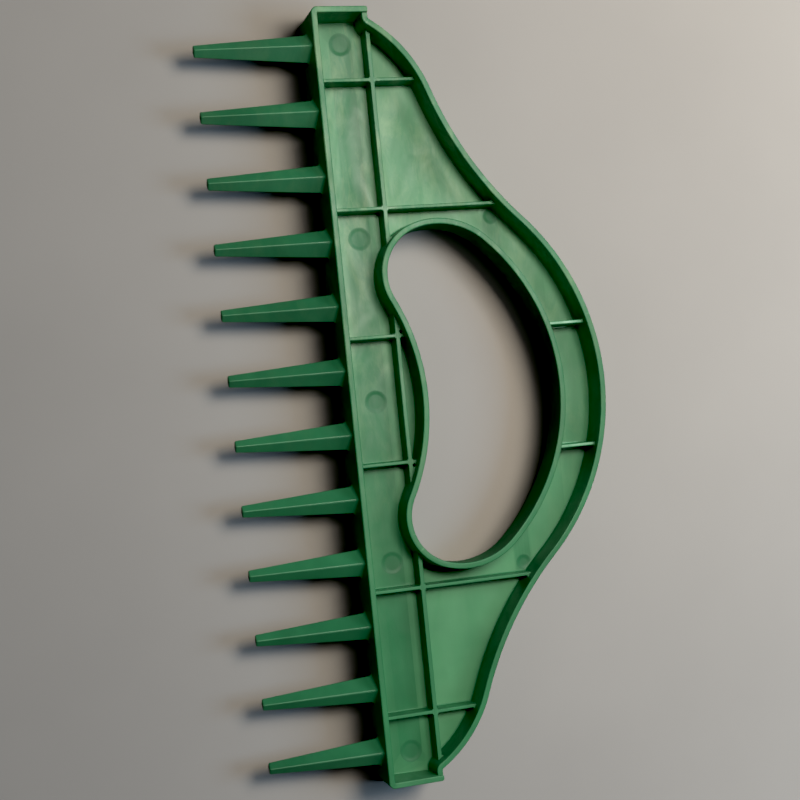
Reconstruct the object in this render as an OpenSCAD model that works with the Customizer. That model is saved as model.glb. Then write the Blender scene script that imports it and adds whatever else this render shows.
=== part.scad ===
// Hand rake moulded in one piece: a straight bar with a row of diamond-section tines on its front,
// and an arched grip with a finger-shaped hand hole behind it. The open, ribbed side faces up.
// X runs along the row of tines, Y from the tines towards the grip, Z out of the open side.
// The origin is on the back face, at the middle of the bar's front edge.

/* [Bar] */
// Length of the bar along the row of tines
bar_len = 303.2; // [280:0.4:340]
// Depth of the bar, from its front rim to its back corners
bar_depth = 22.3; // [21:0.1:24]
// Height of the bar walls above the back face
bar_h = 16; // [15:0.5:20]
// How far the front wall leans out at the back face
front_lean = 2.5; // [1:0.5:5]
// Length of the slanted corner at each end of the leaning front wall
corner_len = 3.4; // [3:0.1:8]

/* [Walls and ribs] */
// Thickness of every upright wall
wall_t = 2.3; // [1.8:0.1:2.6]
// Thickness of the flat web that closes the back
web_t = 2.5; // [1.5:0.1:4]
// Thickness of the long spine rib
spine_t = 2; // [1.2:0.1:2.4]
// Distance of the spine rib's centre line behind the front rim
spine_y = 23; // [22.5:0.1:26]
// Thickness of the cross ribs
rib_t = 1.6; // [1:0.1:2.2]
// Height of the rib tops above the back face
rib_top = 9.7; // [6:0.1:13]
// Height of the two grip ribs' tops above the back face
grip_rib_top = 11.7; // [8:0.1:13]

/* [Tines] */
// Number of tines
tine_count = 12; // [8:2:12]
// Distance from one tine to the next
tine_pitch = 25; // [22:0.5:25]
// Distance of the tine tips in front of the front rim
tine_reach = 45.2; // [30:0.2:60]
// Width of a tine across its corners where it leaves the bar
tine_root_w = 11.4; // [8:0.1:13]
// Width of a tine across its corners at its blunt tip
tine_tip_w = 4.8; // [3:0.1:6]
// Length of the chamfer around the tip
tip_chamfer = 0.8; // [0.4:0.1:1.5]

/* [Grip arch] */
// Distance of the top of the arch behind the front rim
arch_y = 106.6; // [104:0.1:108]
// Height of the grip walls above the back face
grip_h = 14.8; // [13:0.1:15]
// Radius of the arch
arch_r = 95.5; // [94:0.1:97]
// Turn of the arch from its top to the hollow shoulder, in degrees
arch_turn = 45.5; // [45:0.1:46]
// Radius of the hollow shoulder
shoulder_r = 139.7; // [138:0.1:141]
// Turn of the hollow shoulder, in degrees
shoulder_turn = 25.5; // [25:0.1:26]
// Radius of the round end that runs down to the bar
toe_r = 53; // [52:0.1:54]

/* [Hand hole] */
// Distance of the top of the hole behind the front rim
hole_y = 86.8; // [85:0.1:88]
// Radius of the hole's top edge
palm_r = 80.7; // [79:0.1:82]
// Turn of the top edge, in degrees
palm_turn = 47.8; // [47:0.1:49]
// Radius of the upper part of each rounded end
end_r = 27.9; // [27:0.1:29]
// Turn of the upper part of each rounded end, in degrees
end_turn = 59.5; // [59:0.1:61]
// Radius of the lower part of each rounded end
lobe_r = 18.8; // [18:0.1:20]
// Slope at which the finger bump leaves the rounded ends, in degrees
bump_turn = 27.2; // [26:0.1:28]

/* [Ejector marks] */
// Depth of the round marks in the web
mark_depth = 0.25; // [0.1:0.05:0.5]
// Radius of the marks along the bar
bar_mark_r = 4.6; // [3:0.1:5]
// Radius of the marks beside the hand hole
shoulder_mark_r = 3.5; // [2:0.1:4]

/* [Hidden] */

// Degrees of turn between two points on an outline's arc
arc_step = 1.5;
// Longer than any part, for cutting shapes
big = 400;
half_len = bar_len / 2;
end_x = half_len - wall_t;
spine_back = spine_y + spine_t / 2;
spine_front = spine_y - spine_t / 2;
tine_z = bar_h / 2;
// Cross ribs stand halfway between the two tines of each pair
function rib_x(i) = (2 * i - 1 - tine_count / 2) * tine_pitch;
function tine_x(i) = (i - (tine_count + 1) / 2) * tine_pitch;
// Where the ejector pins pushed: the bar marks lie on one line, the shoulder marks beside the hole
bar_mark_x = [0, 64.5, 140.6];
bar_mark_y = 13.2;
shoulder_mark = [71.3, 69.3];

body_green = [0.13, 0.45, 0.24];
tine_green = [0.1, 0.38, 0.2];
// A y value inside the hand hole, between the rear ribs and the grip ribs
grip_clear = 80;

// A chain of tangent arcs. A state is [x, y, heading]; an arc is [radius, turn], and a positive
// turn goes clockwise.
function turned(s, r, a) =
    [
        s[0] + r * sign(a) * (sin(s[2]) - sin(s[2] - a)),
        s[1] - r * sign(a) * (cos(s[2]) - cos(s[2] - a)),
        s[2] - a
    ];
function arc_points(s, r, a) =
    let (n = ceil(abs(a) / arc_step))
    [for (k = [1 : n]) let (e = turned(s, r, a * k / n)) [e[0], e[1]]];
function chain_state(s, arcs, n) = n == 0 ? s : let (b = chain_state(s, arcs, n - 1))
    turned(b, arcs[n - 1][0], arcs[n - 1][1]);
function chain_points(s, arcs) =
    [for (n = [0 : len(arcs) - 1]) each arc_points(chain_state(s, arcs, n), arcs[n][0], arcs[n][1])];
// The mirror image of a half outline, in reverse order
function mirrored(points) = [for (k = [len(points) - 1 : -1 : 0]) [-points[k][0], points[k][1]]];

shoulder_arcs = [[arch_r, arch_turn], [shoulder_r, -shoulder_turn]];
shoulder_end = chain_state([0, arch_y, 0], shoulder_arcs, 2);
// The round end turns until it meets the back of the bar
toe_drop = shoulder_end[1] - bar_depth;
toe_turn = shoulder_end[2] + acos(cos(shoulder_end[2]) - toe_drop / toe_r);
arch_half = concat(
    chain_points([0, arch_y, 0], shoulder_arcs),
    arc_points(shoulder_end, toe_r, toe_turn)
);
end_turn_lower = 180 - palm_turn - end_turn + bump_turn;
hole_arcs = [[palm_r, palm_turn], [end_r, end_turn], [lobe_r, end_turn_lower]];
lobe_end = chain_state([0, hole_y, 0], hole_arcs, len(hole_arcs));
// The finger bump is centred on the plane of symmetry
bump_r = lobe_end[0] / sin(bump_turn);
hole_half = concat(
    chain_points([0, hole_y, 0], hole_arcs),
    arc_points(lobe_end, bump_r, -bump_turn)
);

module hole_plan() {
    polygon(concat([[0, hole_y]], hole_half, mirrored([for (k = [0 : len(hole_half) - 2]) hole_half[k]])));
}

// Outline of the bar and the grip together, without the leaning front
module plan() {
    bar_corners = [
        [half_len, bar_depth], [half_len, 0], [-half_len, 0], [-half_len, bar_depth]
    ];
    polygon(concat([[0, arch_y]], arch_half, bar_corners, mirrored(arch_half)));
}

// Outline of the trough inside the walls, with the hand hole and its wall left out
module trough_plan() {
    difference() {
        offset(delta = -wall_t)
            plan();
        offset(delta = wall_t)
            hole_plan();
    }
}

// An upright strip of the trough, from the web up to the given height
module trough_rib(x0, x1, y0, y1, top) {
    translate([0, 0, web_t])
        linear_extrude(top - web_t)
            intersection() {
                trough_plan();
                translate([x0, y0])
                    square([x1 - x0, y1 - y0]);
            }
}

module web() {
    color(body_green)
        difference() {
            linear_extrude(web_t)
                trough_plan();
            for (side = [-1, 1]) {
                for (x = bar_mark_x)
                    translate([side * x, bar_mark_y, web_t - mark_depth])
                        cylinder(r = bar_mark_r, h = web_t, $fn = 48);
                translate([side * shoulder_mark[0], shoulder_mark[1], web_t - mark_depth])
                    cylinder(r = shoulder_mark_r, h = web_t, $fn = 48);
            }
        }
}

// Cross-section of the leaning front wall, in Y and Z
module front_section() {
    polygon([[wall_t, 0], [wall_t, bar_h], [0, bar_h], [-front_lean, 0]]);
}

module front_block() {
    intersection() {
        rotate([90, 0, 90])
            translate([0, 0, -half_len])
                linear_extrude(bar_len)
                    front_section();
        linear_extrude(bar_h)
            polygon([
                [-half_len, wall_t], [-half_len, 0], [corner_len - half_len, -front_lean],
                [half_len - corner_len, -front_lean], [half_len, 0], [half_len, wall_t]
            ]);
    }
}

module front_wall() {
    color(body_green)
        front_block();
}

module end_wall(side) {
    x0 = side > 0 ? end_x : -half_len;
    color(body_green)
        translate([x0, wall_t, 0])
            cube([wall_t, bar_depth - wall_t, bar_h]);
}

module outer_rim() {
    color(body_green)
        linear_extrude(grip_h)
            intersection() {
                difference() {
                    plan();
                    offset(delta = -wall_t)
                        plan();
                }
                translate([-end_x, bar_depth - wall_t])
                    square([2 * end_x, big]);
            }
}

module hole_rim() {
    color(body_green)
        linear_extrude(grip_h)
            difference() {
                offset(delta = wall_t)
                    hole_plan();
                hole_plan();
            }
}

module spine_rib(x0, x1) {
    color(body_green)
        trough_rib(x0, x1, spine_front, spine_back, rib_top);
}

// The stretch of cross rib i between two y values
module cross_rib(i, y0, y1, top) {
    color(body_green)
        trough_rib(rib_x(i) - rib_t / 2, rib_x(i) + rib_t / 2, y0, y1, top);
}

// From the front wall to the spine
module front_rib(i) {
    cross_rib(i, wall_t, spine_front, rib_top);
}

// From the spine back to the outer rim, or to the wall of the hand hole
module rear_rib(i) {
    cross_rib(i, spine_back, grip_clear, rib_top);
}

// Across the channel of the grip
module grip_rib(i) {
    cross_rib(i, grip_clear, big, grip_rib_top);
}

module tine(i) {
    shank = tine_reach - tip_chamfer;
    blunt_w = tine_tip_w - 2 * tip_chamfer;
    color(tine_green)
        difference() {
            translate([tine_x(i), 0, tine_z])
                rotate([90, 0, 0])
                    union() {
                        cylinder(h = shank, d1 = tine_root_w, d2 = tine_tip_w, $fn = 4);
                        translate([0, 0, shank])
                            cylinder(h = tip_chamfer, d1 = tine_tip_w, d2 = blunt_w, $fn = 4);
                    }
            front_block();
        }
}

web();
front_wall();
end_wall(-1);  // end_wall_left
end_wall(1);  // end_wall_right
outer_rim();
hole_rim();
spine_rib(-big, -lobe_end[0]);  // spine_rib_left
spine_rib(-lobe_end[0], lobe_end[0]);  // spine_rib_middle
spine_rib(lobe_end[0], big);  // spine_rib_right
front_rib(1);  // front_rib_1
front_rib(2);  // front_rib_2
front_rib(3);  // front_rib_3
front_rib(4);  // front_rib_4
front_rib(5);  // front_rib_5
front_rib(6);  // front_rib_6
rear_rib(1);  // rear_rib_1
rear_rib(2);  // rear_rib_2
rear_rib(3);  // rear_rib_3
rear_rib(4);  // rear_rib_4
rear_rib(5);  // rear_rib_5
rear_rib(6);  // rear_rib_6
grip_rib(3);  // grip_rib_left
grip_rib(4);  // grip_rib_right
tine(1);  // tine_01
tine(2);  // tine_02
tine(3);  // tine_03
tine(4);  // tine_04
tine(5);  // tine_05
tine(6);  // tine_06
tine(7);  // tine_07
tine(8);  // tine_08
tine(9);  // tine_09
tine(10);  // tine_10
tine(11);  // tine_11
tine(12);  // tine_12
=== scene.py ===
"""Looks for the moulded hand rake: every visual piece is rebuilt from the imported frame's own outlines,
with rounded rims, drafted walls and filleted feet, in one satin green plastic."""

import math

import bmesh
import bpy
import numpy as np
from mathutils import Matrix, Vector
from mathutils.geometry import tessellate_polygon


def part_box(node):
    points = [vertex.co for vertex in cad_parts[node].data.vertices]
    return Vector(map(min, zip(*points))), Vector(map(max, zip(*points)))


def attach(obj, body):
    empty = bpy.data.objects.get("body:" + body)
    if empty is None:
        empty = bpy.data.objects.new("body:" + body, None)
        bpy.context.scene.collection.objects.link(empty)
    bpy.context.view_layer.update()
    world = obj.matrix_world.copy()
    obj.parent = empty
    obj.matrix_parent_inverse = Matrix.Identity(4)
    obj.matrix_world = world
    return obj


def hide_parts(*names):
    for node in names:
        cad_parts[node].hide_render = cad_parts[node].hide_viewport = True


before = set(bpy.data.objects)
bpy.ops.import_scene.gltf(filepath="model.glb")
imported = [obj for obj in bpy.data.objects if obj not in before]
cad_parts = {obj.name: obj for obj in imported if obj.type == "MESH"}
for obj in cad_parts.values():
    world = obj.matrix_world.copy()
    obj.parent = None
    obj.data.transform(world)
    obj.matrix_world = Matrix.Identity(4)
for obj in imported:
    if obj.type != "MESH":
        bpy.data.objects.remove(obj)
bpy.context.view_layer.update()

MM = 0.001

# ---------------------------------------------------------------------------------------------------
# Sizes of the moulding's small shapes, in millimetres. Everything larger is read from the frame.
# Counts, shares and tolerances of the mesh code stand with them.
RIM_ROUND = 0.45        # rounding of the upright walls' rims
BACK_ROUND = 1.0        # rounding of the outer edges of the back
FOOT = 0.5              # fillet where a wall meets the web
DRAFT = 0.2             # how much thicker a wall is at its foot than at its rim
RIB_ROUND = 0.32        # rounding of the rib tops
RIB_FOOT = 0.35         # fillet where a rib meets the web
RIB_FLARE = 0.5         # fillet where a rib runs into a wall
RIB_DRAFT = 0.12        # draft of each side of a rib
BURIED = 0.4            # how far a piece reaches into its neighbour, so that no gap shows
RIB_BURIED = 0.75       # the same at the ends of a rib, more than its rounding takes away
LOW_TOP = 0.04          # how much lower a crossing rib's top is than the spine's
TINE_ROUND = 0.75       # rounding of the tines' long edges at the root
TINE_FOOT = 1.1         # fillet where a tine leaves the bar
TIP_ROUND = 0.7         # rounding of the blunt tips
END_CHAMFER = 1.4       # cut of the front corners at the rim
TOE_ROUND = 1.2         # rounding of the hollow corner where the outer rim leaves the bar
BAR_ROUND = 0.5         # rounding of the bar's inner corners at the back
BAR_INNER_ROUND = 0.4   # rounding of the bar's inner corners at the front
BAR_BACK_ROUND = 0.9    # rounding of the bar's outer corners at the back
BAR_SIDE_ROUND = 1.4    # rounding where an end wall's outer face meets the slanted corner
BAR_FRONT_ROUND = 1.6   # rounding where the slanted corner meets the front wall's outer face
CUT_BEHIND = 1.0        # the end walls are cut from the front wall this far behind its foot
SKIRT = 0.2             # width of the flat skirt in which a fillet runs out on the web
SKIRT_LIFT = 0.006      # height of that skirt above the web, so that no crease shows
LIFT = 0.02             # height of the walls' undersides above the web's, which covers the seam
ARC_STEPS = 4           # segments in a small rounding
TOE_STEPS = 6           # segments in the rounding of the hollow corner
TINE_STEPS = 5          # segments in the tines' roundings
MARK_SIDES = 40         # sides of a round ejector mark
# The marks' soft edge: distance in from the circle in millimetres and share of the depth
MARK_SLOPE = ((0.3, 0.06), (0.75, 0.3), (1.2, 0.7), (1.6, 0.94), (2.0, 1.0))
TINE_SPANS, TINE_SPAN = 8, 3.0      # rings along a tine's root, and their distance
TINE_ROUND_LOSS = 0.45  # share of the edge rounding that a tine loses towards its tip
GROWTH_SHARE = 0.4      # share of a ring's growth that its edge rounding takes up
SHRINK_LIMIT = 0.9      # the most that the rounding counts of a shrinking ring, in roundings
TIP_BACK = 2.5          # the shank's last full ring, in tip roundings before the tip

NEAR = 0.01             # two heights or lines closer than this are the same
MERGE = 0.001           # points closer than this are one point
WELD = 0.002            # the same for the frame's own meshes
CORNER_TURN = 12.0      # an outline's turn in degrees that stays a corner
MITRE_FLOOR = 0.4       # keeps the mitred normals of sharp corners short
ALL_FACE_WEIGHT = 100   # normals follow the large faces
SHARP_ANGLE = math.radians(38)

# ---------------------------------------------------------------------------------------------------
# Looks
# The last value of each look is the share of a pale coat of dust that is also painted sheen.
BODY_LOOK = {"base": (0.033, 0.2, 0.085), "rough": 0.41, "dust_and_sheen": 0.3}
MARK_LOOK = {"base": (0.03, 0.178, 0.078), "rough": 0.48, "dust_and_sheen": 0.1}
# The tines' plastic is a darker copy of the body's: painted shade on the tines.
SHADED_TINE_LOOK = {"base": (0.032, 0.175, 0.082), "rough": 0.38, "dust_and_sheen": 0.06}
DUST_AND_SHEEN = (0.25, 0.38, 0.2, 1)             # the colour of the dust and of the painted sheen
WEAR_AND_HIGHLIGHT = (0.2, 0.46, 0.25, 1)           # the colour of the worn edges and of their painted highlight
PLASTIC_IOR, PLASTIC_SHINE = 1.49, 0.42
# Noise textures of the plastic: stretch along X, Y and Z, and the texture's own values
CLOUDS = (None, {"Scale": 26.0, "Detail": 3.0, "Roughness": 0.5})
STREAKS = ((14.0, 90.0, 60.0), {"Scale": 1.0, "Detail": 4.0, "Roughness": 0.6})
# The next noise spreads the dust and the painted sheen.
DUST_SHEEN_NOISE = ((55.0, 150.0, 90.0), {"Scale": 1.0, "Detail": 6.0, "Roughness": 0.66, "Distortion": 0.5})
SMEARS = ((22.0, 48.0, 30.0), {"Scale": 1.6, "Detail": 5.0, "Roughness": 0.62, "Distortion": 0.9})
PEEL = (None, {"Scale": 900.0, "Detail": 2.0, "Roughness": 0.5})
WAVES = (None, {"Scale": 60.0, "Detail": 2.0, "Roughness": 0.5})
MOTTLE = (None, {"Scale": 9.0, "Detail": 4.0})
STREAK_SHARE = 0.45                     # share of the streaks in the colour's drift
TONES = ((0.3, 0.72, 0.0), (0.72, 1.18, 0.004))     # drift, factor on the base colour, lift
# Ranges: from low, from high, to low, to high
DUST_SHEEN_ALONG_X = (-0.1, 0.08, 2.0, 0.05)       # dust and painted sheen along X, in metres: the left end has more of them
WEAR_HIGHLIGHT_RANGE = (0.51, 0.62, 0.0, 0.7)           # edge wear and painted highlight over the sharpness of the edge
DUST_SHEEN_RANGE = (0.46, 0.72)
SMEAR_RANGE, ROUGHER, SMOOTHER = (0.34, 0.66), 0.1, 0.08
FINE_BUMP = {"Strength": 0.25, "Distance": 0.00003}
BROAD_BUMP = {"Strength": 0.5, "Distance": 0.0005}
FLOOR_ROUGH, FLOOR_SHINE = 0.8, 0.2
FLOOR_SPAN = (-0.16, 0.24, 0.0, 1.0)    # along Y, in metres, of the floor's painted light
MOTTLE_RANGE = (0.3, 0.7, 0.96, 1.03)
FLOOR_FAR = (0.25, 0.248, 0.258, 1)     # the floor's colour on the side of the tines, darker: painted shade
FLOOR_NEAR = (0.3, 0.289, 0.29, 1)      # the floor's colour on the side of the grip, lighter: painted light
FLOOR_BOUNCE = 0.3      # share of the floor's colour that its bounced light carries
FLOOR_HALF = 3.0        # metres
FLOOR_DROP = 0.0001     # metres
BLACK_LEVEL = 0.012     # the darkest tone the view still tells from black
ROOM_COLOUR, ROOM_STRENGTH = (0.92, 0.97, 1.0, 1), 0.012

# Name, place, aim, size, power, colour and what it lights
TARGET = (0.0, 0.03, 0.0)
LIGHTS = (
    ("lamp", (-0.25, 0.16, 1.0), TARGET, (0.55, 0.22), 7.9, (1.0, 0.975, 0.86), "rake"),
    ("window", (-0.35, 0.65, 0.6), TARGET, (0.4, 0.35), 3.1, (0.88, 0.98, 1.0), "rake"),
    ("side_fill", (0.48, 0.08, 0.3), TARGET, (0.3, 0.2), 0.3, (0.85, 1.0, 0.97), "rake"),
    ("glint", (-0.07, 0.47, 0.94), (0.0, 0.1, 0.0), (0.12, 0.12), 4.5, (0.97, 1.0, 0.97), "grip_ribs"),
    ("table_key", (-0.3, 0.52, 0.72), TARGET, (0.5, 0.4), 12.1, (1.0, 0.885, 0.7), "table"),
    ("table_window", (0.12, 1.0, 0.6), TARGET, (0.5, 0.4), 10.0, (0.56, 0.8, 1.0), "table"),
    ("table_lamp", (-0.1, 0.3, 1.0), TARGET, (0.9, 0.5), 0.9, (1.0, 0.96, 0.88), "table"),
)

# The camera stands over the tine side of the rake and looks down at the grip; the picture's
# sideways direction is nearly the rake's Y. Places are in metres.
CAMERA_PLACE = Vector((0.01749, -0.12182, 0.55413))
CAMERA_RIGHT = Vector((0.0987, 0.9556, 0.27766))
CAMERA_AHEAD = Vector((0.0468, 0.27426, -0.96052))
CAMERA_LENS = 64.09
CAMERA_SENSOR = 36.0
CAMERA_NEAR = 0.01
CAMERA_SHIFT = {"shift_x": -0.0512, "shift_y": 0.1335}
HOME_RADIUS = 0.02      # metres; within this of its place the camera counts as being at home


# ---------------------------------------------------------------------------------------------------
# Outlines of the frame's nodes
def signed_area(points):
    x, y = points[:, 0], points[:, 1]
    return 0.5 * float(np.sum(x * np.roll(y, -1) - np.roll(x, -1) * y))


def flat_loops(node, height):
    """The closed outlines of a node's flat face at a height in millimetres, counter-clockwise, the
    largest first, as arrays of x and y in millimetres."""
    bm = bmesh.new()
    bm.from_mesh(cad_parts[node].data)
    bmesh.ops.remove_doubles(bm, verts=bm.verts, dist=WELD * MM)
    level = height * MM

    def is_flat(face):
        return all(abs(v.co.z - level) < NEAR * MM for v in face.verts)

    links = {}
    for edge in bm.edges:
        if sum(is_flat(f) for f in edge.link_faces) == 1:
            a, b = edge.verts
            links.setdefault(a, []).append(b)
            links.setdefault(b, []).append(a)
    loops = []
    todo = set(links)
    while todo:
        first = min(todo, key=lambda v: v.index)
        walk, last, here = [first], None, first
        while True:
            onward = [v for v in links[here] if v is not last]
            last, here = here, onward[0]
            if here is first:
                break
            walk.append(here)
        todo -= set(walk)
        points = np.array([(v.co.x, v.co.y) for v in walk]) / MM
        loops.append(points if signed_area(points) > 0 else points[::-1])
    bm.free()
    return [without_straights(p) for p in sorted(loops, key=lambda p: -signed_area(p))]


def without_straights(points):
    """A closed outline with the points that lie on straight runs left out."""
    back, ahead = np.roll(points, 1, 0), np.roll(points, -1, 0)
    a, b = points - back, ahead - points
    cross = a[:, 0] * b[:, 1] - a[:, 1] * b[:, 0]
    return points[np.abs(cross) > 1e-4 * np.linalg.norm(a, axis=1) * np.linalg.norm(b, axis=1)]


def turn_angles(points):
    a = points - np.roll(points, 1, 0)
    b = np.roll(points, -1, 0) - points
    cross = a[:, 0] * b[:, 1] - a[:, 1] * b[:, 0]
    return np.degrees(np.arctan2(cross, np.sum(a * b, axis=1)))


def refined(points, closed=True):
    """One round of four-point subdivision: the curve passes through every point, and corners stay."""
    n = len(points)
    sharp = np.abs(turn_angles(points)) > CORNER_TURN
    if not closed:
        sharp[0] = sharp[-1] = True
    out = []
    for i in range(n if closed else n - 1):
        p1, p2 = points[i], points[(i + 1) % n]
        p0 = 2 * p1 - p2 if sharp[i] else points[i - 1]
        p3 = 2 * p2 - p1 if sharp[(i + 1) % n] else points[(i + 2) % n]
        reach = np.linalg.norm(p2 - p1)
        even = max(np.linalg.norm(p1 - p0), np.linalg.norm(p3 - p2)) < 3 * reach
        out.append(p1)
        middle = (9 * (p1 + p2) - p0 - p3) / 16
        if even and not (sharp[i] and sharp[(i + 1) % n]):
            out.append(middle)
    if not closed:
        out.append(points[-1])
    return np.array(out)


def fillet(corner, toward_a, toward_b, radius, steps=ARC_STEPS):
    """Points of the arc that rounds a corner between two directions, from the first to the second."""
    a = toward_a / np.linalg.norm(toward_a)
    b = toward_b / np.linalg.norm(toward_b)
    half = math.acos(max(-1.0, min(1.0, float(a @ b)))) / 2
    middle = (a + b) / np.linalg.norm(a + b)
    centre = corner + middle * radius / math.sin(half)
    start = corner + a * radius / math.tan(half) - centre
    sweep = math.pi - 2 * half
    side = 1 if start[0] * (corner - centre)[1] - start[1] * (corner - centre)[0] > 0 else -1
    points = []
    for k in range(steps + 1):
        t = side * sweep * k / steps
        turn = np.array([[math.cos(t), -math.sin(t)], [math.sin(t), math.cos(t)]])
        points.append(centre + turn @ start)
    return points


def normals(points, closed=True):
    """Mitred normals to the right of travel, so they point out of a counter-clockwise outline."""
    a = points - np.roll(points, 1, 0)
    b = np.roll(points, -1, 0) - points
    if not closed:
        a[0], b[-1] = b[0], a[-1]
    a /= np.linalg.norm(a, axis=1)[:, None]
    b /= np.linalg.norm(b, axis=1)[:, None]
    na = np.stack([a[:, 1], -a[:, 0]], 1)
    nb = np.stack([b[:, 1], -b[:, 0]], 1)
    mid = na + nb
    mid /= np.linalg.norm(mid, axis=1)[:, None]
    return mid / np.maximum(np.sum(mid * na, axis=1), MITRE_FLOOR)[:, None]


# ---------------------------------------------------------------------------------------------------
# Meshes
def finish_mesh(name, bm, material, nodes):
    """Makes the object, shades it, and hands it to the frame in place of its CAD nodes."""
    bmesh.ops.remove_doubles(bm, verts=bm.verts, dist=MERGE * MM)
    bmesh.ops.dissolve_degenerate(bm, edges=bm.edges, dist=MERGE * MM)
    bmesh.ops.recalc_face_normals(bm, faces=bm.faces)
    mesh = bpy.data.meshes.new(name)
    bm.to_mesh(mesh)
    bm.free()
    mesh.polygons.foreach_set("use_smooth", [True] * len(mesh.polygons))
    mesh.set_sharp_from_angle(angle=SHARP_ANGLE)
    piece = bpy.data.objects.new(name, mesh)
    bpy.context.scene.collection.objects.link(piece)
    mesh.materials.append(material)
    weighted = piece.modifiers.new("face_weighted_normals", "WEIGHTED_NORMAL")
    weighted.keep_sharp = True
    weighted.weight = ALL_FACE_WEIGHT
    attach(piece, "root")
    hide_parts(*nodes)
    return piece


def lofted(rings, cyclic=False):
    """A mesh through rings of equally many points; unless it is cyclic, a face closes each end."""
    bm = bmesh.new()
    rows = [[bm.verts.new(Vector(p) * MM) for p in ring] for ring in rings]
    count = len(rows[0])
    following = rows[1:] + rows[:1] if cyclic else rows[1:]
    for low, high in zip(rows, following):
        for i in range(count):
            j = (i + 1) % count
            bm.faces.new((low[i], low[j], high[j], high[i]))
    if not cyclic:
        bm.faces.new(rows[0])
        bm.faces.new(rows[-1])
    return bm


def at_height(points, z):
    return np.column_stack([points, np.full(len(points), z)])


def quarter(steps=ARC_STEPS):
    """Sine and cosine pairs of a quarter turn, from flat to upright."""
    angles = [math.pi / 2 * k / steps for k in range(steps + 1)]
    return [(math.sin(a), math.cos(a)) for a in angles]


def wall_section(top):
    """Cross-section of an upright wall: points (n, z), with n from the outer face to the inner one.
    The rim is rounded, the inner face has draft and a filleted foot on the web."""
    points = []
    for s, c in quarter():
        points.append((BACK_ROUND * (1 - s), BACK_ROUND * (1 - c)))
    for s, c in quarter():
        points.append((RIM_ROUND * (1 - c), top - RIM_ROUND + RIM_ROUND * s))
    for s, c in quarter():
        points.append((wall - RIM_ROUND * (1 - s), top - RIM_ROUND * (1 - c)))
    foot_n = wall + DRAFT
    for s, c in quarter():
        points.append((foot_n + FOOT * (1 - c), web_top + FOOT * (1 - s)))
    points[-1] = (foot_n + FOOT, web_top + SKIRT_LIFT)
    points.append((foot_n + FOOT + SKIRT, web_top + SKIRT_LIFT))
    points.append((foot_n + FOOT + SKIRT, web_top - BURIED))
    points.append((wall, web_top - BURIED))
    points.append((wall, LIFT))
    points[0] = (BACK_ROUND, LIFT)
    return points


def swept(path, section, closed):
    """A solid with one cross-section, carried along a plan path, inner side to the left of travel."""
    out = normals(path, closed)
    rings = [[(*(point - n * d), z) for d, z in section] for point, n in zip(path, out)]
    return lofted(rings, cyclic=closed)


# ---------------------------------------------------------------------------------------------------
# The frame's main sizes, in millimetres
def node_box(name):
    low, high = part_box(name)
    return np.array(low) / MM, np.array(high) / MM


web_top = node_box("web")[1][2]
rim_top = node_box("outer_rim")[1][2]
hole_top = node_box("hole_rim")[1][2]
front_low, (half_len, wall, bar_top) = node_box("front_wall")
lean = -front_low[1]
bar_back = node_box("end_wall_right")[1][1]


# ---------------------------------------------------------------------------------------------------
# Material
class Shader:
    """A new principled material, and short ways of adding nodes to it."""

    def __init__(self, name, rough, shine):
        self.material = bpy.data.materials.new(name)
        self.material.use_nodes = True
        self.nodes = self.material.node_tree.nodes
        self.link = self.material.node_tree.links.new
        self.skin = self.nodes["Principled BSDF"]
        self.skin.inputs["Roughness"].default_value = rough
        self.skin.inputs["Specular IOR Level"].default_value = shine
        self.place = self.add("ShaderNodeTexCoord").outputs["Object"]
        self.axes = self.add("ShaderNodeSeparateXYZ")
        self.link(self.place, self.axes.inputs["Vector"])

    def add(self, kind, **values):
        node = self.nodes.new(kind)
        for key, value in values.items():
            if key in node.inputs:
                node.inputs[key].default_value = value
            else:
                setattr(node, key, value)
        return node

    def noise(self, texture):
        stretch, values = texture
        where = self.place
        if stretch:
            mapping = self.add("ShaderNodeMapping", Scale=stretch)
            self.link(where, mapping.inputs["Vector"])
            where = mapping.outputs["Vector"]
        node = self.add("ShaderNodeTexNoise", **values)
        self.link(where, node.inputs["Vector"])
        return node.outputs["Fac"]

    def mapped(self, value, from_low, from_high, to_low, to_high):
        node = self.add("ShaderNodeMapRange")
        limits = {"From Min": from_low, "From Max": from_high, "To Min": to_low, "To Max": to_high}
        for key, limit in limits.items():
            node.inputs[key].default_value = limit
        self.link(value, node.inputs["Value"])
        return node.outputs["Result"]

    def product(self, a, b):
        node = self.add("ShaderNodeMath", operation="MULTIPLY")
        self.link(a, node.inputs[0])
        self.link(b, node.inputs[1])
        return node.outputs["Value"]

    def ramp(self, value, stops, interpolation="LINEAR"):
        node = self.add("ShaderNodeValToRGB")
        node.color_ramp.interpolation = interpolation
        for element, (position, colour) in zip(node.color_ramp.elements, stops):
            element.position = position
            element.color = colour
        self.link(value, node.inputs["Fac"])
        return node.outputs["Color"]

    def coated(self, colour, coat, share):
        node = self.add("ShaderNodeMixRGB", Color2=coat)
        self.link(share, node.inputs["Fac"])
        self.link(colour, node.inputs["Color1"])
        return node.outputs["Color"]

    def bump(self, height, values, normal=None):
        node = self.add("ShaderNodeBump", **values)
        self.link(height, node.inputs["Height"])
        if normal:
            self.link(normal, node.inputs["Normal"])
        return node.outputs["Normal"]


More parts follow.
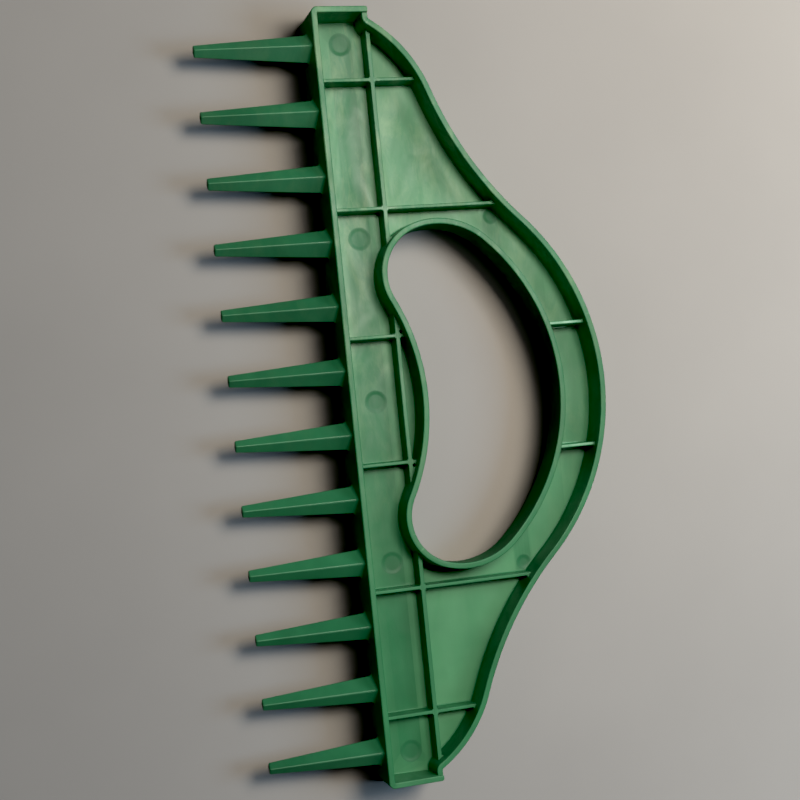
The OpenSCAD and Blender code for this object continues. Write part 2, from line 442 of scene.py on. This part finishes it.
def plastic(name, base, rough, dust_and_sheen):
    """Satin moulded polypropylene: colour drifts in slow clouds and fine flow streaks along the
    bar, with pale dusty scuffs that are also painted sheen, more of them at the left end, and
    rubbed edges lightened as wear and as a painted highlight. The gloss is blotchy, and the skin
    has a fine orange peel."""
    shader = Shader(name, rough, PLASTIC_SHINE)
    shader.skin.inputs["IOR"].default_value = PLASTIC_IOR

    clouds = shader.noise(CLOUDS)
    drift = shader.add("ShaderNodeMix", data_type="FLOAT")
    drift.inputs["Factor"].default_value = STREAK_SHARE
    shader.link(clouds, drift.inputs["A"])
    shader.link(shader.noise(STREAKS), drift.inputs["B"])
    stops = [(at, (*[c * factor + lift for c in base], 1)) for at, factor, lift in TONES]
    colour = shader.ramp(drift.outputs["Result"], stops)

    # A pale coat of dust, which is also painted sheen, stronger towards the left end.
    dust_sheen_mask = shader.mapped(shader.noise(DUST_SHEEN_NOISE), *DUST_SHEEN_RANGE, 0.0, dust_and_sheen)
    dust_sheen_along_x = shader.mapped(shader.axes.outputs["X"], *DUST_SHEEN_ALONG_X)
    colour = shader.coated(colour, DUST_AND_SHEEN, shader.product(dust_sheen_mask, dust_sheen_along_x))

    # Sharp edges are lightened: wear, and a painted highlight on rims, rib tops and tine edges.
    edges = shader.add("ShaderNodeNewGeometry").outputs["Pointiness"]
    colour = shader.coated(colour, WEAR_AND_HIGHLIGHT, shader.product(shader.mapped(edges, *WEAR_HIGHLIGHT_RANGE), clouds))
    shader.link(colour, shader.skin.inputs["Base Color"])

    gloss = shader.mapped(shader.noise(SMEARS), *SMEAR_RANGE, rough + ROUGHER, rough - SMOOTHER)
    shader.link(gloss, shader.skin.inputs["Roughness"])

    fine = shader.bump(shader.noise(PEEL), FINE_BUMP)
    broad = shader.bump(shader.noise(WAVES), BROAD_BUMP, fine)
    shader.link(broad, shader.skin.inputs["Normal"])
    return shader.material


def table_top():
    """A pale matt surface with a faint mottling, painted lighter on the side of the grip for the
    lamps' fall-off. It throws less light back at the rake than it shows the camera, as a large dark room
    would."""
    shader = Shader("pale_floor", FLOOR_ROUGH, FLOOR_SHINE)
    # Painted light: the floor grows lighter towards the grip, standing in for the fall-off of the lamps.
    across = shader.mapped(shader.axes.outputs["Y"], *FLOOR_SPAN)
    shade = shader.ramp(across, [(0.0, FLOOR_FAR), (1.0, FLOOR_NEAR)], "EASE")
    mottle = shader.mapped(shader.noise(MOTTLE), *MOTTLE_RANGE)
    seen = shader.add("ShaderNodeLightPath").outputs["Is Camera Ray"]
    bounce = shader.mapped(seen, 0.0, 1.0, FLOOR_BOUNCE, 1.0)
    scaled = shader.add("ShaderNodeVectorMath", operation="SCALE")
    shader.link(shade, scaled.inputs[0])
    shader.link(shader.product(mottle, bounce), scaled.inputs["Scale"])
    shader.link(scaled.outputs["Vector"], shader.skin.inputs["Base Color"])
    return shader.material


BODY = plastic("body_plastic", **BODY_LOOK)
MARK = plastic("ejector_mark_plastic", **MARK_LOOK)
# A darker copy of the body plastic for the tines: painted shade.
SHADED_TINE = plastic("shaded_tine_plastic", **SHADED_TINE_LOOK)


# ---------------------------------------------------------------------------------------------------
# The closed back
def mark_circles():
    """Centres and radii of the round marks, from the web's recesses, in millimetres."""
    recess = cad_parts["web"].data
    heights = sorted({round(v.co.z / MM, 3) for v in recess.vertices})
    floor = heights[-2]
    circles = []
    for loop in flat_loops("web", floor):
        centre = loop.mean(0)
        circles.append((centre, float(np.linalg.norm(loop - centre, axis=1).mean())))
    return circles, floor


def circle_points(centre, radius):
    turns = [2 * math.pi * k / MARK_SIDES for k in range(MARK_SIDES)]
    return np.array([centre + radius * np.array([math.cos(t), math.sin(t)]) for t in turns])


def build_web():
    outer, hole = flat_loops("web", 0.0)[:2]
    outer = refined(refined(outer))
    hole = refined(hole)
    outer = outer + normals(outer) * BURIED
    hole = hole - normals(hole) * BURIED
    circles, floor = mark_circles()
    bm = bmesh.new()

    def ring(points, z):
        return [bm.verts.new(Vector((*p, z)) * MM) for p in points]

    def fill(rings):
        flat = [[Vector((v.co.x, v.co.y, 0)) for v in r] for r in rings]
        order = [v for r in rings for v in r]
        return [bm.faces.new([order[i] for i in tri]) for tri in tessellate_polygon(flat)]

    def bridge(a, b):
        return [
            bm.faces.new((a[i], a[(i + 1) % len(a)], b[(i + 1) % len(a)], b[i])) for i in range(len(a))
        ]

    low_outer, low_hole = ring(outer, 0.0), ring(hole, 0.0)
    top_outer, top_hole = ring(outer, web_top), ring(hole, web_top)
    marks = [ring(circle_points(c, r), web_top) for c, r in circles]
    fill([low_outer, low_hole])
    fill([top_outer, top_hole] + marks)
    bridge(low_outer, top_outer)
    bridge(low_hole, top_hole)
    marked = []
    for (c, r), edge in zip(circles, marks):
        previous = edge
        for inward, down in MARK_SLOPE:
            lower = ring(circle_points(c, r - inward), web_top + (floor - web_top) * down)
            marked += bridge(previous, lower)
            previous = lower
        marked += fill([previous])
    for face in marked:
        face.material_index = 1
    web = finish_mesh("back_web", bm, BODY, ["web"])
    web.data.materials.append(MARK)
    return web


# ---------------------------------------------------------------------------------------------------
# The walls
def build_outer_rim():
    loop = flat_loops("outer_rim", rim_top)[0]
    side = np.abs(loop[:, 0]).max()
    back = loop[np.abs(loop[:, 0]) > side - NEAR][:, 1].max()

    def corner(sign):
        return int(np.argmin(np.linalg.norm(loop - np.array([sign * side, back]), axis=1)))

    # The loop runs counter-clockwise, so the outer face leads from the right corner to the left
    right, left = corner(1), corner(-1)
    chain = [loop[(right + k) % len(loop)] for k in range((left - right) % len(loop) + 1)]
    beyond = np.array([2 * BURIED, 0])
    # The hollow corners where the rim leaves the back of the bar are rounded on the outside
    path = [chain[0] + beyond]
    path += fillet(chain[1], chain[0] - chain[1], chain[2] - chain[1], TOE_ROUND, TOE_STEPS)
    path += chain[2:-2]
    path += fillet(chain[-2], chain[-3] - chain[-2], chain[-1] - chain[-2], TOE_ROUND, TOE_STEPS)
    path += [chain[-1] - beyond]
    path = refined(refined(np.array(path), closed=False), closed=False)
    bm = swept(path, wall_section(rim_top), closed=False)
    return finish_mesh("grip_outer_rim", bm, BODY, ["outer_rim"])


def build_hole_rim():
    hole = refined(flat_loops("hole_rim", hole_top)[1])[::-1]
    bm = swept(hole, wall_section(hole_top), closed=True)
    return finish_mesh("hand_hole_rim", bm, BODY, ["hole_rim"])


def bar_outline(z):
    """Plan outline of the bar's U-shaped shell at a height, counter-clockwise, and for each of its
    points whether it lies on the inner face."""
    leaning = lean * (1 - z / bar_top)
    inner = half_len - wall
    right_half = [
        ([inner, bar_back], BAR_ROUND, False),
        ([half_len, bar_back], BAR_BACK_ROUND, False),
        ([half_len, END_CHAMFER], BAR_SIDE_ROUND, False),
        ([half_len - END_CHAMFER - leaning, -leaning], BAR_FRONT_ROUND, False),
    ]
    left_half = [([-x, y], radius, inside) for (x, y), radius, inside in right_half[::-1]]
    trough = [([-inner, wall], BAR_INNER_ROUND, True), ([inner, wall], BAR_INNER_ROUND, True)]
    corners = right_half + left_half + trough
    places = [np.array(corner[0], float) for corner in corners]
    points, inside = [], []
    for i, (_, radius, is_inside) in enumerate(corners):
        here, before, after = places[i], places[i - 1], places[(i + 1) % len(places)]
        arc = fillet(here, before - here, after - here, radius)
        points += arc
        inside += [is_inside] * len(arc)
    return np.array(points)[::-1], np.array(inside)[::-1]


def build_bar():
    """The front wall and both end walls, made as one shell and cut apart just behind the front."""
    spread = FOOT + DRAFT + SKIRT
    skirt_top = web_top + SKIRT_LIFT
    # Height, and how far the outline's outer and inner points move outwards
    levels = []
    for s, c in quarter():
        levels.append((LIFT + BACK_ROUND * (1 - c), -BACK_ROUND * (1 - s), 0.0))
    levels += [(web_top - BURIED, 0.0, spread), (skirt_top, 0.0, spread)]
    for s, c in quarter():
        levels.append((skirt_top + FOOT * (1 - c), 0.0, FOOT * (1 - s) + DRAFT))
    for s, c in quarter():
        inset = -RIM_ROUND * (1 - c)
        levels.append((bar_top - RIM_ROUND * (1 - s), inset, inset))
    rings = []
    for z, outer_shift, inner_shift in levels:
        points, inside = bar_outline(z)
        shift = np.where(inside, inner_shift, outer_shift)
        rings.append(at_height(points + normals(points) * shift[:, None], z))
    cut_y = wall + FOOT + DRAFT + CUT_BEHIND

    def part(name, node, keep):
        bm = lofted(rings)
        bmesh.ops.remove_doubles(bm, verts=bm.verts, dist=MERGE / 2 * MM)
        for point, normal in keep:
            cut = bmesh.ops.bisect_plane(
                bm, geom=bm.verts[:] + bm.edges[:] + bm.faces[:],
                plane_co=Vector(point) * MM, plane_no=Vector(normal), clear_outer=True,
            )
            edges = [e for e in cut["geom_cut"] if isinstance(e, bmesh.types.BMEdge)]
            bmesh.ops.holes_fill(bm, edges=edges, sides=0)
        return finish_mesh(name, bm, BODY, [node])

    behind = ((0, cut_y, 0), (0, -1, 0))
    part("bar_front_wall", "front_wall", [((0, cut_y, 0), (0, 1, 0))])
    part("bar_end_wall_left", "end_wall_left", [behind, ((0, 0, 0), (1, 0, 0))])
    part("bar_end_wall_right", "end_wall_right", [behind, ((0, 0, 0), (-1, 0, 0))])


# ---------------------------------------------------------------------------------------------------
# The ribs
def rib_outline(node, along):
    """Outline of a rib in plan, flared where it runs into a wall, and each point's outward side;
    along is the rib's axis, 0 for X and 1 for Y."""
    loop = flat_loops(node, node_box(node)[0][2])[0]
    across = 1 - along
    low, high = loop[:, across].min(), loop[:, across].max()

    def corner(side, end):
        on_side = loop[np.abs(loop[:, across] - side) < NEAR]
        pick = np.argmin if end < 0 else np.argmax
        return on_side[pick(on_side[:, along])]

    axis, outward = np.zeros(2), np.zeros(2)
    axis[along], outward[across] = 1.0, 1.0
    outline, sides = [], []
    for end, (near, far) in ((1, (low, high)), (-1, (high, low))):
        here, there = corner(near, end), corner(far, end)
        face = here - there
        first = fillet(here, -axis * end, face, RIB_FLARE)
        second = fillet(there, -face, -axis * end, RIB_FLARE)
        deep = axis * end * RIB_BURIED
        outline += first + [first[-1] + deep, second[0] + deep] + second
        sides += [-outward * end] * (len(first) + 1) + [outward * end] * (len(second) + 1)
    return np.array(outline), np.array(sides)


def build_rib(name, node, along, drop):
    outline, out = rib_outline(node, along)
    top = node_box(node)[1][2] - drop
    levels = [(web_top - BURIED, RIB_FOOT + SKIRT), (web_top + SKIRT_LIFT, RIB_FOOT + SKIRT)]
    for s, c in quarter():
        levels.append((web_top + SKIRT_LIFT + RIB_FOOT * (1 - c), RIB_FOOT * (1 - s)))
    for s, c in quarter():
        levels.append((top - RIB_ROUND * (1 - s), -RIB_DRAFT - RIB_ROUND * (1 - c)))
    rings = [at_height(outline + out * shift, z) for z, shift in levels]
    return finish_mesh(name, lofted(rings), BODY, [node])


# ---------------------------------------------------------------------------------------------------
# The tines
def tine_section(half, rounding):
    """A square standing on its corner, with rounded corners: (x, z) around the tine's axis."""
    tips = [np.array(p) * half for p in ((1.0, 0.0), (0.0, 1.0), (-1.0, 0.0), (0.0, -1.0))]
    points = []
    for i, tip in enumerate(tips):
        points += fillet(tip, tips[i - 1] - tip, tips[(i + 1) % 4] - tip, rounding, TINE_STEPS)
    return np.array(points)


def build_tine(index):
    node = f"tine_{index:02d}"
    low, high = node_box(node)
    axis_x, axis_z = (low[0] + high[0]) / 2, (low[2] + high[2]) / 2
    reach = -low[1]
    root_half, tip_half = tine_halves(node)

    def face_y(z):
        return -lean * (1 - z / bar_top)

    rings = []

    def add(s, grow, slant):
        """One ring: s is the distance from the wall's face, slant 1 follows that face's lean."""
        y_mid = face_y(axis_z) - s
        share = min(1.0, max(0.0, -y_mid / reach))
        half = root_half + (tip_half - root_half) * share
        rounding = TINE_ROUND * (1 - TINE_ROUND_LOSS * share)
        eased = rounding + GROWTH_SHARE * max(grow, -SHRINK_LIMIT * rounding)
        section = tine_section(half + grow, eased)
        ring = []
        for x, z in section:
            y = slant * (face_y(axis_z + z) - face_y(axis_z)) + y_mid
            ring.append((axis_x + x, y, axis_z + z))
        rings.append(ring)

    add(-BURIED, TINE_FOOT, 1.0)
    for s, c in quarter(TINE_STEPS):
        add(TINE_FOOT * (1 - c), TINE_FOOT * (1 - s), 1.0)
    for k in range(1, TINE_SPANS + 1):
        add(TINE_FOOT + TINE_SPAN * k, 0.0, 1 - k / TINE_SPANS)
    end = reach + face_y(axis_z)
    add(end - TIP_ROUND * TIP_BACK, 0.0, 0.0)
    for s, c in quarter(TINE_STEPS):
        add(end - TIP_ROUND * (1 - s), -TIP_ROUND * (1 - c), 0.0)
    return finish_mesh(f"{node}_shank", lofted(rings), SHADED_TINE, [node])


def tine_halves(node):
    """Half the corner-to-corner width at the front rim's plane and just before the tip's chamfer."""
    points = np.array([v.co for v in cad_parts[node].data.vertices]) / MM
    chamfer_y = sorted({round(float(y), 3) for y in points[:, 1]})[1]
    ring = points[np.abs(points[:, 1] - chamfer_y) < NEAR]
    tip_half = (ring[:, 0].max() - ring[:, 0].min()) / 2
    widest = points[np.argmax(points[:, 0])]
    widest_half = widest[0] - (points[:, 0].min() + points[:, 0].max()) / 2
    slope = (widest_half - tip_half) / (widest[1] - chamfer_y)
    return widest_half - slope * widest[1], tip_half


# ---------------------------------------------------------------------------------------------------
# Floor, light and camera
def build_floor():
    bm = bmesh.new()
    bmesh.ops.create_grid(bm, x_segments=2, y_segments=2, size=FLOOR_HALF)
    mesh = bpy.data.meshes.new("floor")
    bm.to_mesh(mesh)
    bm.free()
    floor = bpy.data.objects.new("floor", mesh)
    floor.location = (0, 0, -FLOOR_DROP)
    mesh.materials.append(table_top())
    bpy.context.scene.collection.objects.link(floor)
    return floor


def area_light(name, place, target, size, power, colour, lit):
    """A soft box aimed at the target, which lights only the objects in one collection."""
    data = bpy.data.lights.new(name, "AREA")
    data.shape = "RECTANGLE"
    data.size, data.size_y = size
    data.energy = power
    data.color = colour
    light = bpy.data.objects.new(name, data)
    light.location = place
    light.rotation_mode = "QUATERNION"
    light.rotation_quaternion = (Vector(target) - Vector(place)).to_track_quat("-Z", "Y")
    bpy.context.scene.collection.objects.link(light)
    light.light_linking.receiver_collection = lit


def build_light(floor):
    """The table has lights of its own, low behind the grip, so that the shadows beside the upright
    walls stay deep while the ribbed side is lit from above. One more light shines on the two ribs
    of the grip only, for the glint on them."""
    pieces = [o for o in bpy.context.scene.objects if o.type == "MESH" and o is not floor]
    grip_ribs = [o for o in pieces if o.name.startswith("grip_cross")]
    lit = {}
    for key, members in (("rake", pieces), ("table", [floor]), ("grip_ribs", grip_ribs)):
        lit[key] = bpy.data.collections.new(f"lit_{key}")
        for member in members:
            lit[key].objects.link(member)
    for *light, key in LIGHTS:
        area_light(*light, lit[key])
    world = bpy.data.worlds.new("room")
    world.use_nodes = True
    world.node_tree.nodes["Background"].inputs["Color"].default_value = ROOM_COLOUR
    world.node_tree.nodes["Background"].inputs["Strength"].default_value = ROOM_STRENGTH
    bpy.context.scene.world = world
    view = bpy.context.scene.view_settings
    view.view_transform = "Standard"
    view.use_curve_mapping = True
    view.curve_mapping.black_level = (BLACK_LEVEL,) * 3
    view.curve_mapping.update()


def build_camera():
    data = bpy.data.cameras.new("camera")
    data.sensor_width = CAMERA_SENSOR
    data.lens = CAMERA_LENS
    data.clip_start = CAMERA_NEAR
    camera = bpy.data.objects.new("camera", data)
    bpy.context.scene.collection.objects.link(camera)
    ahead = CAMERA_AHEAD.normalized()
    right = (CAMERA_RIGHT - ahead * CAMERA_RIGHT.dot(ahead)).normalized()
    up = right.cross(ahead)
    turn = Matrix((right, up, -ahead)).transposed()
    camera.location = CAMERA_PLACE
    camera.rotation_mode = "QUATERNION"
    camera.rotation_quaternion = turn.to_quaternion()
    bpy.context.scene.camera = camera
    # The lens is shifted for the main view only; from any other place the camera looks straight.
    # The distance to the home place drives the shift, through a curve with one step in it.
    home = bpy.data.objects.new("camera_home", None)
    home.location = CAMERA_PLACE
    bpy.context.scene.collection.objects.link(home)
    for which, amount in CAMERA_SHIFT.items():
        curve = data.driver_add(which)
        curve.modifiers.remove(curve.modifiers[0])
        curve.driver.type = "AVERAGE"
        distance = curve.driver.variables.new()
        distance.type = "LOC_DIFF"
        distance.targets[0].id = camera
        distance.targets[1].id = home
        curve.keyframe_points.insert(0.0, amount).interpolation = "CONSTANT"
        curve.keyframe_points.insert(HOME_RADIUS, 0.0).interpolation = "CONSTANT"


# ---------------------------------------------------------------------------------------------------
build_web()
build_bar()
build_outer_rim()
build_hole_rim()
for part in ("left", "middle", "right"):
    build_rib(f"spine_{part}", f"spine_rib_{part}", 0, 0.0)
for i in range(1, 7):
    build_rib(f"cross_front_{i}", f"front_rib_{i}", 1, LOW_TOP)
    build_rib(f"cross_rear_{i}", f"rear_rib_{i}", 1, LOW_TOP)
for part in ("left", "right"):
    build_rib(f"grip_cross_{part}", f"grip_rib_{part}", 1, 0.0)
for i in range(1, 13):
    build_tine(i)
build_light(build_floor())
build_camera()
